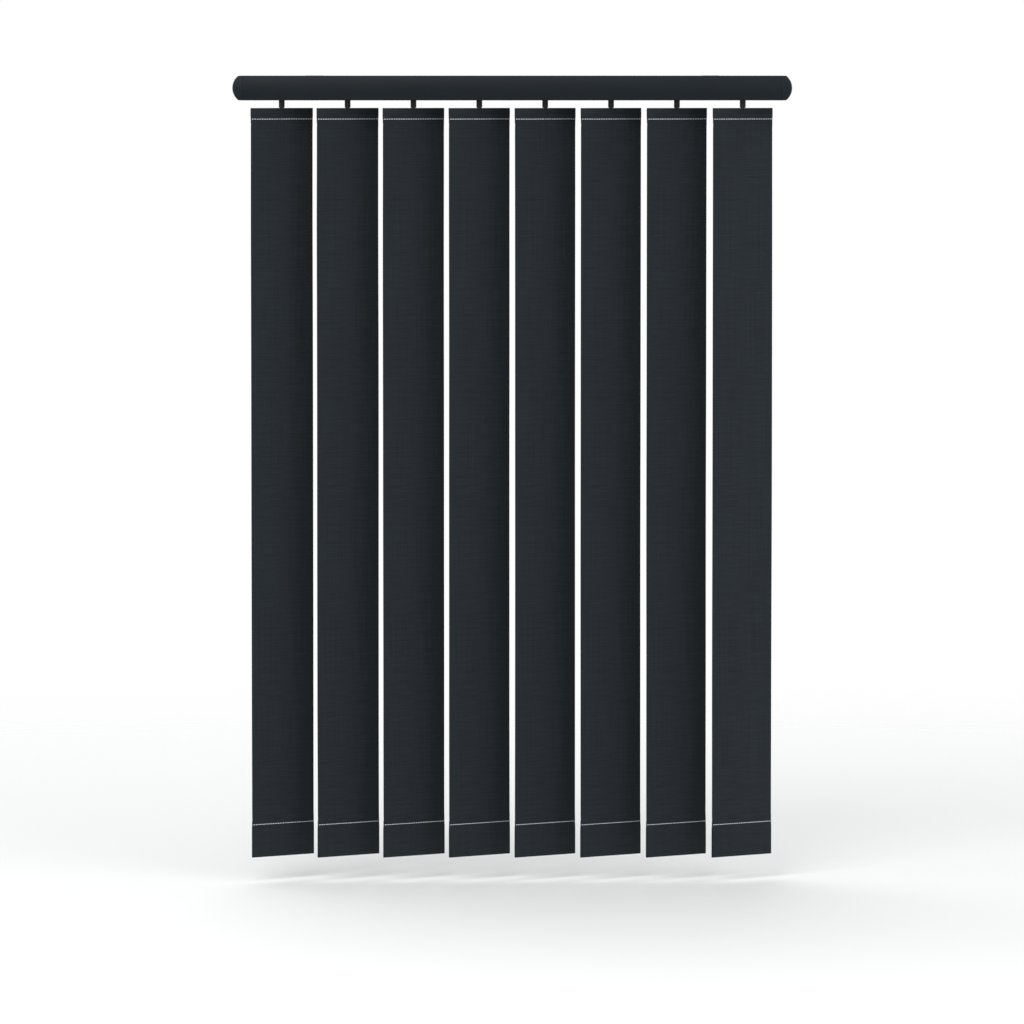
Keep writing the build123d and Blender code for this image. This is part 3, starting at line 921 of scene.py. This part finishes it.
def add_soft_piece(mesh, body, slot, node):
    """A piece with rounded edges that stands for a node."""
    piece = add_piece(mesh.name, mesh, materials[slot], body)
    keep_flats_flat(piece)
    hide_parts(node)


for end, cap_side in (("control", -1), ("idle", 1)):
    cap = trimmed_mesh(f"moulded_cap_{end}", f"end_cap_{end}", cap_form(cap_side))
    add_soft_piece(cap, "rail", "cap_plastic", f"end_cap_{end}")

for end in ("left", "right"):
    clip = softened_mesh(f"pressed_clip_{end}", f"mounting_clip_{end}", CLIP_ROUND, cad_box[1].z + CLIP_ROUND)
    add_soft_piece(clip, "rail", "spring_steel", f"mounting_clip_{end}")

for stem_number in range(1, VANE_COUNT + 1):
    stem = softened_mesh(f"moulded_stem_{stem_number}", f"stem_{stem_number}", STEM_ROUND, rail_bottom)
    add_soft_piece(stem, f"vane_{stem_number}", "stem_plastic", f"stem_{stem_number}")


# Worm threads


def thread_mesh(name, middle):
    """A right-handed thread with run-out ends, whose crest faces the wheel at the carrier's middle."""
    work = bmesh.new()
    turn = math.pi * THREAD_TURNS
    root = core_radius - THREAD_SINK
    sections = []
    for step in range(THREAD_STEPS + 1):
        angle = turn * (2 * step / THREAD_STEPS - 1)
        runout_share = ease((turn - abs(angle)) / RUNOUT_TURN)
        crest = core_radius + (crest_radius - core_radius) * grown(RUNOUT_HEIGHT_SHARE, runout_share)
        section = []
        for radius, side in ((root, -1), (crest, -1), (crest, 1), (root, 1)):
            half = thread_thickness / 2 - (radius - pitch_radius) * math.tan(FLANK_ANGLE)
            x = thread_lead * angle / math.tau + side * half * grown(RUNOUT_WIDTH_SHARE, runout_share)
            place = Vector((x, -radius * math.cos(angle), -radius * math.sin(angle)))
            section.append(work.verts.new(middle + place))
        sections.append(section)
    tube(work, sections)
    return finished_mesh(work, name, THREAD_CREASE)


for worm_number in range(1, VANE_COUNT + 1):
    worm_low, worm_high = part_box(f"worm_{worm_number}")
    thread = thread_mesh(f"worm_thread_{worm_number}", (worm_low + worm_high) / 2)
    add_piece(f"worm_thread_{worm_number}", thread, materials["worm_plastic"], f"worm_drive_{worm_number}")


# Stage, light and camera


def add_floor():
    """A pale floor just under the vanes that fades into the white surround."""
    work = bmesh.new()
    bmesh.ops.create_circle(work, cap_ends=True, segments=FLOOR_SIDES, radius=FLOOR_RADIUS)
    mesh = bpy.data.meshes.new("floor")
    work.to_mesh(mesh)
    work.free()
    floor = new_object("floor", mesh)
    floor.location.z = cad_box[0].z - FLOOR_DROP
    shader = Shader("floor", FLOOR_COLOR, roughness=0.7, Specular_IOR_Level=0.2)
    gradient = shader.add("ShaderNodeTexGradient", gradient_type="SPHERICAL")
    shader.link(shader.coordinates("Object", (1 / FLOOR_RADIUS,) * 3), gradient.inputs["Vector"])
    fade = shader.add("ShaderNodeMapRange", interpolation_type="SMOOTHSTEP")
    fade.inputs["From Max"].default_value = FLOOR_FADE_SHARE
    shader.link(gradient.outputs["Fac"], fade.inputs["Value"])
    shader.link(fade.outputs["Result"], shader.surface.inputs["Alpha"])
    mesh.materials.append(shader.material)


def add_light(name, place, aim, size, power):
    """A soft panel of light that faces a point."""
    data = bpy.data.lights.new(name, "AREA")
    data.shape = "RECTANGLE"
    data.size, data.size_y = size
    data.energy = power
    light = new_object(name, data)
    light.location = place
    light.rotation_euler = (Vector(aim) - Vector(place)).to_track_quat("-Z", "Y").to_euler()


def add_world():
    """White behind the object, with a softer grey light from all around it."""
    world = bpy.data.worlds.new("studio")
    world.use_nodes = True
    tree = world.node_tree
    ambient = tree.nodes["Background"]
    ambient.inputs["Color"].default_value = (*AMBIENT_COLOR, 1)
    ambient.inputs["Strength"].default_value = AMBIENT_STRENGTH
    white = tree.nodes.new("ShaderNodeBackground")
    white.inputs["Color"].default_value = (*WHITE, 1)
    rays = tree.nodes.new("ShaderNodeLightPath")
    mix = tree.nodes.new("ShaderNodeMixShader")
    tree.links.new(rays.outputs["Is Camera Ray"], mix.inputs["Fac"])
    tree.links.new(ambient.outputs[0], mix.inputs[1])
    tree.links.new(white.outputs[0], mix.inputs[2])
    tree.links.new(mix.outputs[0], tree.nodes["World Output"].inputs["Surface"])
    bpy.context.scene.world = world


def add_camera():
    """A long lens in front of the blind, level with its top and tipped down a little."""
    data = bpy.data.cameras.new("camera")
    data.lens = CAMERA_LENS
    data.sensor_width = CAMERA_SENSOR
    data.clip_end = CAMERA_REACH
    camera = new_object("camera", data)
    camera.location = (CAMERA_OFFSET, -CAMERA_DISTANCE, CAMERA_LEVEL)
    camera.rotation_euler = (math.pi / 2 - CAMERA_PITCH, 0, 0)
    bpy.context.scene.camera = camera


centre = (cad_box[0] + cad_box[1]) / 2
add_floor()
add_world()
add_light("key", place=(-1.3, -3.4, 2.2), aim=centre, size=(2.6, 2.6), power=110)
add_light("fill", place=(2.4, -3.2, 0.3), aim=centre, size=(2.0, 2.0), power=24)
add_light("back", place=(-1.0, 3.4, 2.8), aim=centre, size=(4.0, 3.0), power=55)
add_camera()
bpy.context.scene.view_settings.view_transform = "Standard"
